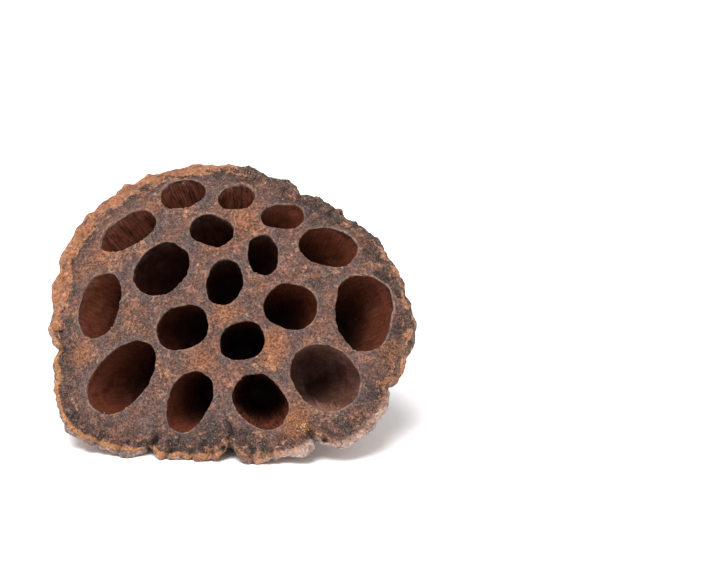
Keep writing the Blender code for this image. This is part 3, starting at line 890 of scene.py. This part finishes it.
def faceSkin():
    material, tree, shader, place = newMaterial("faceSkin", 0.52)
    lip = attribute(tree, "lipAway")
    radial = attribute(tree, "faceRun", "Vector")
    broad = mottled(tree, place, 140.0, 0.5, 0.14)
    middle = mottled(tree, place, 430.0, 0.5, 0.10)
    fine = mottled(tree, place, 1450.0, 0.44, 0.07)
    fleck = mottled(tree, place, 640.0, 0.30, 0.05)
    drawn = mottled(tree, radial, 0.55, 0.45, 0.09)
    creased = wrinkled(tree, place, 420.0, 0.035)
    pleated = wrinkled(tree, radial, 0.42, 0.045)
    nearRim = ranged(tree, attribute(tree, "edgeAway"), 13.0, 4.0)
    tint = blend(tree, broad, colour["faceGrey"], colour["faceMauve"])
    tint = coat(tree, tint, times(tree, middle, 0.7), "faceBrown")
    # painted highlight on raised skin and painted shade in its hollows, by the relief's height
    relief = ranged(tree, attribute(tree, "relief"), -0.35, 0.45)
    tint = blend(tree, times(tree, relief, 0.4), tint, colour["facePale"], "OVERLAY")
    valleyShade = ranged(tree, attribute(tree, "relief"), 0.0, -0.6, 0.0, 0.7)
    tint = coat(tree, tint, valleyShade, "faceDark")
    dusky = times(tree, attribute(tree, "dusk"), ranged(tree, middle, 0.0, 1.0, 0.6, 1.0))
    tint = coat(tree, tint, ranged(tree, dusky, 0.1, 1.0, 0.0, 0.75), "dusk")
    # painted shade: a grey ring on the outer slope round each raised lip
    collar = ranged(tree, apart(tree, lip, 0.9), 1.3, 0.2)
    collar = times(tree, collar, ranged(tree, broad, 0.0, 1.0, 0.65, 0.1))
    tint = coat(tree, tint, collar, "lipCollarShade")
    uneven = times(tree, minus(tree, plus(tree, middle, fine), 1.0), -0.35)
    rusty = plus(tree, attribute(tree, "rust"), uneven)
    tint = coat(tree, tint, ranged(tree, rusty, 0.15, 1.1, 0.0, 0.75), "rust")
    rim = placeRim(tree, tint, place)
    tint, calm = rim["Color"], rim["Calm"]
    nearRim = times(tree, nearRim, calm)
    drawn = times(tree, drawn, nearRim)
    tint = coat(tree, tint, times(tree, drawn, 0.45), "faceDark")
    creased = times(tree, creased, times(tree, calm, 0.30))
    pleated = times(tree, pleated, times(tree, nearRim, 0.70))
    lines = maths(tree, "MAXIMUM", creased, pleated)
    tint = coat(tree, tint, lines, "faceDark")
    tint = coat(tree, tint, times(tree, fleck, times(tree, calm, 0.35)), "rust")
    dark = times(tree, fine, times(tree, calm, 0.60))
    tint = coat(tree, tint, dark, "faceDark")
    pale = mottled(tree, place, 2300.0, 0.36, 0.05)
    tint = coat(tree, tint, times(tree, pale, 0.62), "facePale")
    gold = specked(tree, place, 1150.0, 0.05, 0.32)
    tint = coat(tree, tint, times(tree, gold, 0.75), "gold")
    pits = specked(tree, place, 1250.0, 0.28, 0.32)
    tint = coat(tree, tint, times(tree, pits, times(tree, calm, 0.7)), "pitDark")
    wall = placeLining(tree, place)
    tint = blend(tree, ranged(tree, lip, 0.0, -0.45), tint, wall["Color"])
    edge = ranged(tree, apart(tree, lip, 0.05), 0.36, 0.10)
    ragged = times(tree, edge, ranged(tree, middle, 0.0, 1.0, 0.9, 0.25))
    tint = coat(tree, tint, ragged, "lipPale")
    # painted shade in the creases and pinholes
    tint = coat(tree, tint, attribute(tree, "crease"), "pitDark")
    height = plus(tree, times(tree, fine, -0.6), times(tree, middle, 0.5))
    height = minus(tree, height, times(tree, pits, 0.7))
    height = plus(tree, height, times(tree, pale, 0.6))
    height = minus(tree, height, lines)
    finishMaterial(tree, shader, tint, height, 0.9, 0.40 * mm)
    return material


def cavityLining():
    material, tree, shader, place = newMaterial("cavityLining", 0.48)
    shader.inputs["Specular IOR Level"].default_value = 0.18
    wall = placeLining(tree, place)
    finishMaterial(tree, shader, wall["Color"], wall["Height"], 0.7, 0.35 * mm)
    return material


def flankSkin():
    material, tree, shader, place = newMaterial("flankSkin", 0.72)
    run = attribute(tree, "flankRun", "Vector")
    broad = fibred(tree, run, 0.16, 0.10)
    streak = fibred(tree, run, 0.45, 0.10)
    hair = fibred(tree, run, 1.9, 0.13)
    blotch = fibred(tree, run, 0.26, 0.07)["Mask"]
    fine = mottled(tree, place, 1400.0, 0.42, 0.10)
    relief = attribute(tree, "relief")
    stemward = attribute(tree, "stemward")
    tint = blend(tree, broad["Mask"], colour["flankMauve"], colour["flankPink"])
    tint = coat(tree, tint, times(tree, streak["Mask"], 0.55), "flankBrown")
    rusty = times(tree, blotch, ranged(tree, streak["Mask"], 0.0, 1.0, 0.70, 0.1))
    tint = coat(tree, tint, rusty, "rust")
    # painted shade in the flank's grooves and painted highlight on its raised ribs
    tint = coat(tree, tint, ranged(tree, relief, -0.1, -0.9, 0.0, 0.92), "flankPlum")
    tint = coat(tree, tint, ranged(tree, relief, 0.1, 0.8, 0.0, 0.40), "flankPale")
    tint = coat(tree, tint, times(tree, hair["Mask"], 0.35), "flankPale")
    tint = coat(tree, tint, times(tree, fine, 0.40), "faceDark")
    tint = coat(tree, tint, times(tree, stemward, 0.75), "flankPlum")
    tint = placeRim(tree, tint, place)["Color"]
    # painted shade in the creases and pinholes
    tint = coat(tree, tint, attribute(tree, "crease"), "pitDark")
    height = times(tree, streak["Height"], 1.2)
    height = plus(tree, height, times(tree, hair["Height"], 0.7))
    height = minus(tree, height, times(tree, fine, 0.25))
    finishMaterial(tree, shader, tint, height, 0.7, 0.5 * mm)
    return material


def stubCork():
    material, tree, shader, place = newMaterial("stubCork", 0.85)
    cells = specked(tree, place, 1400.0, 0.6, 0.42)
    blotch = mottled(tree, place, 600.0, 0.5, 0.12)
    fine = mottled(tree, place, 2400.0, 0.5, 0.12)
    tint = blend(tree, blotch, colour["corkGold"], colour["corkPale"])
    tint = coat(tree, tint, times(tree, fine, 0.5), "corkBrown")
    tint = coat(tree, tint, times(tree, cells, 0.8), "corkBrown")
    height = minus(tree, times(tree, blotch, 0.5), cells)
    finishMaterial(tree, shader, tint, height, 0.8, 0.4 * mm)
    return material


def buildSkin():
    pod = denseForm(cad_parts["lotus_pod"])
    print("skin meshed:", len(pod.data.polygons), "faces")
    raiseSkin(pod)
    paintMasks(pod)
    for material in (faceSkin(), cavityLining(), flankSkin(), stubCork()):
        pod.data.materials.append(material)
    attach(pod, "root")
    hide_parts("lotus_pod")
    pod.data.calc_loop_triangles()
    print("skin raised and painted:", len(pod.data.loop_triangles), "triangles")
    return pod


pod = buildSkin()
podSurface = BVHTree.FromObject(pod, bpy.context.evaluated_depsgraph_get())


def finishPiece(name, form, material):
    mesh = bpy.data.meshes.new(name)
    form.to_mesh(mesh)
    form.free()
    mesh.materials.append(material)
    mesh.polygons.foreach_set("use_smooth", [True] * len(mesh.polygons))
    piece = addObject(name, mesh)
    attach(piece, "root")
    print(name, "made:", len(mesh.polygons), "faces")


def insideBox(places):
    return all(low < value < high for place in places for value, low, high in zip(place, *cadBox))


def addHair(form, root, towards, sag, length, thick, tip=0.3, cuts=3):
    # one tapered fibre of four sides, bent from its root
    hair = bmesh.new()
    bmesh.ops.create_cone(hair, cap_ends=True, segments=4, radius1=thick, radius2=tip * thick,
                          depth=length, matrix=Matrix.Translation((0, 0, length / 2)))
    sides = [edge for edge in hair.edges if abs(edge.verts[0].co.z - edge.verts[1].co.z) > length / 2]
    bmesh.ops.subdivide_edges(hair, edges=sides, cuts=cuts)
    turn = towards.to_track_quat("Z", "Y").to_matrix()
    for vert in hair.verts:
        share = vert.co.z / length
        vert.co = root + turn @ vert.co + sag * share * share * length
    if insideBox([vert.co for vert in hair.verts]):
        mesh = bpy.data.meshes.new("hair")
        hair.to_mesh(mesh)
        form.from_mesh(mesh)
        bpy.data.meshes.remove(mesh)
    hair.free()


# The fibrous collar round the stub's foot

stubCollar = {
    "count": 420,
    "seed": 4,
    "ring": (5.2, 8.6),  # in millimetres from the axis, and down it
    "down": (37.5, 40.6),
    "length": (1.6, 3.6),
    "thickness": (0.07, 0.13),
    "spread": (0.25, 1.0),
    "sag": 0.35,
    "sunk": 0.35,
}


def collarFibre():
    material, tree, shader, place = newMaterial("collarFibre", 0.75)
    blotch = mottled(tree, place, 520.0, 0.5, 0.08)
    tint = blend(tree, blotch, colour["corkGold"], colour["corkPale"])
    finishMaterial(tree, shader, tint, blotch, 0.2, 0.1 * mm)
    return material


def buildCollar():
    draw = random.Random(stubCollar["seed"])
    form = bmesh.new()
    for _ in range(stubCollar["count"]):
        angle = draw.uniform(0, 2 * math.pi)
        ring, down = draw.uniform(*stubCollar["ring"]), draw.uniform(*stubCollar["down"])
        length = draw.uniform(*stubCollar["length"]) * mm
        thick = draw.uniform(*stubCollar["thickness"]) * mm
        spread = draw.uniform(*stubCollar["spread"])
        sway = Vector([draw.uniform(-1, 1) for _ in range(3)]) * stubCollar["sag"]
        start = Vector(toWorld((ring * math.cos(angle), ring * math.sin(angle), -down)))
        root, normal, _, _ = podSurface.find_nearest(start)
        outward = np.array((math.cos(angle) * spread, math.sin(angle) * spread, -1)) @ podAxes
        towards = Vector(outward).normalized()
        addHair(form, root - normal * stubCollar["sunk"] * mm, towards, sway, length, thick)
    finishPiece("stubCollar", form, collarFibre())


buildCollar()


# Crumbs of dried tissue on the face and in two cavities

podCrumbs = {
    "count": 150,
    "seed": 11,
    "turn": 6.28,
    "reach": 50.0,
    "radius": (0.12, 0.30),
    "deepest": 1.5,  # how far below the face a scattered one may land
    "gatheredDeepest": 99.0,  # and one of those that gather
    "flatness": (0.45, 1.0),
    "sunk": 0.35,
}

# Where crumbs gather: across, up, reach in millimetres, how many.
crumbPlaces = (
    (25.0, -35.0, 2.0, 44), (22.8, -33.0, 1.5, 22), (-28.6, -8.0, 2.4, 12), (-24.0, -6.0, 2.6, 10),
    (-22.8, 28.0, 0.8, 3), (7.0, 45.0, 3.0, 8), (30.7, -26.3, 2.2, 10), (33.5, -25.0, 2.2, 7),
    (-19.5, -0.8, 2.4, 8), (-35.5, 20.5, 2.0, 6),
)


def crumbTissue():
    material, tree, shader, place = newMaterial("crumbTissue", 0.5)
    blotch = mottled(tree, place, 300.0, 0.55, 0.05)
    tint = blend(tree, blotch, colour["crumbPale"], colour["gold"])
    finishMaterial(tree, shader, tint, blotch, 0.2, 0.1 * mm)
    return material


def dropOnPod(across, up, height=15):
    # straight down the pod's axis onto whatever skin lies there
    start = Vector(toWorld((across, up, height)))
    return podSurface.ray_cast(start, -Vector(podAxes[2]))[:2]


def buildCrumbs():
    draw = random.Random(podCrumbs["seed"])
    spots = []
    for across, up, reach, count in crumbPlaces:
        for _ in range(count):
            spot = (across + draw.gauss(0, reach / 2), up + draw.gauss(0, reach / 2))
            spots.append(spot + (podCrumbs["gatheredDeepest"],))
    for _ in range(podCrumbs["count"]):
        angle, away = draw.uniform(0, 2 * math.pi), podCrumbs["reach"] * math.sqrt(draw.random())
        spots.append((away * math.cos(angle), away * math.sin(angle), podCrumbs["deepest"]))
    form = bmesh.new()
    for across, up, deepest in spots:
        size = draw.uniform(*podCrumbs["radius"]) * mm
        scale = [draw.uniform(*podCrumbs["flatness"]) for _ in range(3)]
        turn = Euler([draw.uniform(0, podCrumbs["turn"]) for _ in range(3)]).to_matrix().to_4x4()
        place, normal = dropOnPod(across, up)
        if place is None or not insideBox([place - normal * size * 2, place + normal * size * 2]):
            continue
        u, v, w = toPod(np.array(place))
        if faceHeight(u, v) - w > deepest:
            continue
        middle = Matrix.Translation(place + normal * size * podCrumbs["sunk"])
        shape = middle @ turn @ Matrix.Diagonal(scale + [1])
        bmesh.ops.create_icosphere(form, subdivisions=1, radius=size, matrix=shape)
    finishPiece("podCrumbs", form, crumbTissue())


buildCrumbs()


# Dried threads left in the cavities

cavityThreads = {
    "thickness": 0.09,
    "sunk": 0.25,
    "sag": 0.9,
    "seed": 7,
    "scatter": 0.7,  # how far from its tuft's place a thread starts, in millimetres
    "stray": 0.4,  # how far its aim strays across and up, and down and up the pod's axis
    "strayDown": (-0.3, 0.2),
    "laid": 0.9,  # how much of its aim into or off the skin is taken out, and its rise off it
    "rise": 0.12,
    "lengthShares": (0.6, 1.0),
}

# Each tuft: across, up, how far across and up it points, its length in millimetres, how many threads.
threadTufts = (
    (-32.3, -13.2, 0.2, -1.0, 2.4, 1), (33.6, 12.0, 0.9, 0.5, 2.0, 3), (35.6, 13.0, 0.9, 0.1, 2.2, 3),
    (38.0, 13.5, 0.8, -0.3, 2.0, 3), (31.0, -27.0, 0.8, 0.5, 2.2, 3), (-42.0, -2.0, 0.4, 0.9, 1.4, 2),
    (6.2, 33.2, 0.5, -0.9, 1.6, 2),
)


def threadTissue():
    material, tree, shader, place = newMaterial("threadTissue", 0.5)
    blotch = mottled(tree, place, 300.0, 0.5, 0.08)
    tint = blend(tree, blotch, colour["threadPale"], colour["facePale"])
    finishMaterial(tree, shader, tint, blotch, 0.2, 0.1 * mm)
    return material


def buildThreads():
    draw = random.Random(cavityThreads["seed"])
    scatter, stray = cavityThreads["scatter"], cavityThreads["stray"]
    laid, rise = cavityThreads["laid"], cavityThreads["rise"]
    form = bmesh.new()
    for across, up, aimAcross, aimUp, length, count in threadTufts:
        for _ in range(count):
            start = (across + draw.uniform(-scatter, scatter), up + draw.uniform(-scatter, scatter))
            root, normal = dropOnPod(*start)
            aim = (aimAcross + draw.uniform(-stray, stray), aimUp + draw.uniform(-stray, stray),
                   draw.uniform(*cavityThreads["strayDown"]))
            towards = Vector(np.array(aim) @ podAxes).normalized()
            towards = (towards - normal * towards.dot(normal) * laid + normal * rise).normalized()
            sag = Vector([draw.uniform(-1, 1) for _ in range(3)]) * cavityThreads["sag"]
            long = length * draw.uniform(*cavityThreads["lengthShares"]) * mm
            addHair(form, root - normal * cavityThreads["sunk"] * mm, towards, sag, long,
                    cavityThreads["thickness"] * mm)
    finishPiece("cavityThreads", form, threadTissue())


buildThreads()


# The studio: a pale floor, soft light, and the camera at the photograph's angle

studio = {
    "floorSize": 6.0,
    "floorColour": (0.93, 0.925, 0.92, 1),
    "air": (1.0, 1.0, 1.0, 1),
    "airStrength": 0.80,
    "sunPower": 3.9,
    "sunAngle": math.radians(34),
    "sunAzimuth": math.radians(-14),  # from the front, to the left
    "sunElevation": math.radians(64),
}


def layFloor():
    floor = bmesh.new()
    bmesh.ops.create_grid(floor, x_segments=1, y_segments=1, size=studio["floorSize"] / 2)
    mesh = bpy.data.meshes.new("studioFloor")
    floor.to_mesh(mesh)
    floor.free()
    piece = addObject("studioFloor", mesh)
    material = bpy.data.materials.new("palePaper")
    material.use_nodes = True
    shader = material.node_tree.nodes["Principled BSDF"]
    shader.inputs["Base Color"].default_value = studio["floorColour"]
    shader.inputs["Roughness"].default_value = 0.7
    shader.inputs["Specular IOR Level"].default_value = 0.2
    mesh.materials.append(material)


def hangSun():
    # one wide lamp above the front, as soft as a studio's light bank
    sun = bpy.data.lights.new("lightBank", "SUN")
    sun.energy = studio["sunPower"]
    sun.angle = studio["sunAngle"]
    lamp = addObject("lightBank", sun)
    azimuth, elevation = studio["sunAzimuth"], studio["sunElevation"]
    towards = Vector((math.sin(azimuth) * math.cos(elevation), -math.cos(azimuth) * math.cos(elevation),
                      math.sin(elevation)))
    lamp.location = towards
    lamp.rotation_euler = towards.to_track_quat("Z", "Y").to_euler()


def lightStudio():
    world = bpy.data.worlds.new("studioAir")
    world.use_nodes = True
    air = world.node_tree.nodes["Background"]
    air.inputs["Color"].default_value = studio["air"]
    air.inputs["Strength"].default_value = studio["airStrength"]
    bpy.context.scene.world = world
    hangSun()
    bpy.context.scene.view_settings.view_transform = "Standard"


# The photograph's camera, by where the middle of the rim's plane shows in its 720 x 576 frame.
photoView = {
    "azimuth": math.radians(8),
    "elevation": math.radians(17),
    "distance": 600 * mm,
    "frame": (720, 576),
    "podAt": (232.5, 316),
    "pixelsPerMillimetre": 3.36,
    "sensor": 36.0,
}


def setCamera():
    a, e = photoView["azimuth"], photoView["elevation"]
    forward = Vector((-math.sin(a) * math.cos(e), math.cos(a) * math.cos(e), -math.sin(e)))
    right = Vector((math.cos(a), math.sin(a), 0))
    up = right.cross(forward)
    width, height = photoView["frame"]
    scale = photoView["pixelsPerMillimetre"] / mm
    aside = (photoView["podAt"][0] - width / 2) / scale
    above = (height / 2 - photoView["podAt"][1]) / scale
    aim = Vector(podForm["middle"]) * mm - right * aside - up * above
    lens = bpy.data.cameras.new("photoCamera")
    lens.sensor_width = photoView["sensor"]
    lens.lens = scale * photoView["distance"] / width * photoView["sensor"]
    lens.clip_start, lens.clip_end = 0.05, 20
    camera = addObject("photoCamera", lens)
    turned = Matrix((right, up, -forward)).transposed().to_4x4()
    camera.matrix_world = Matrix.Translation(aim - forward * photoView["distance"]) @ turned
    bpy.context.scene.camera = camera


layFloor()
lightStudio()
setCamera()
print("studio set")
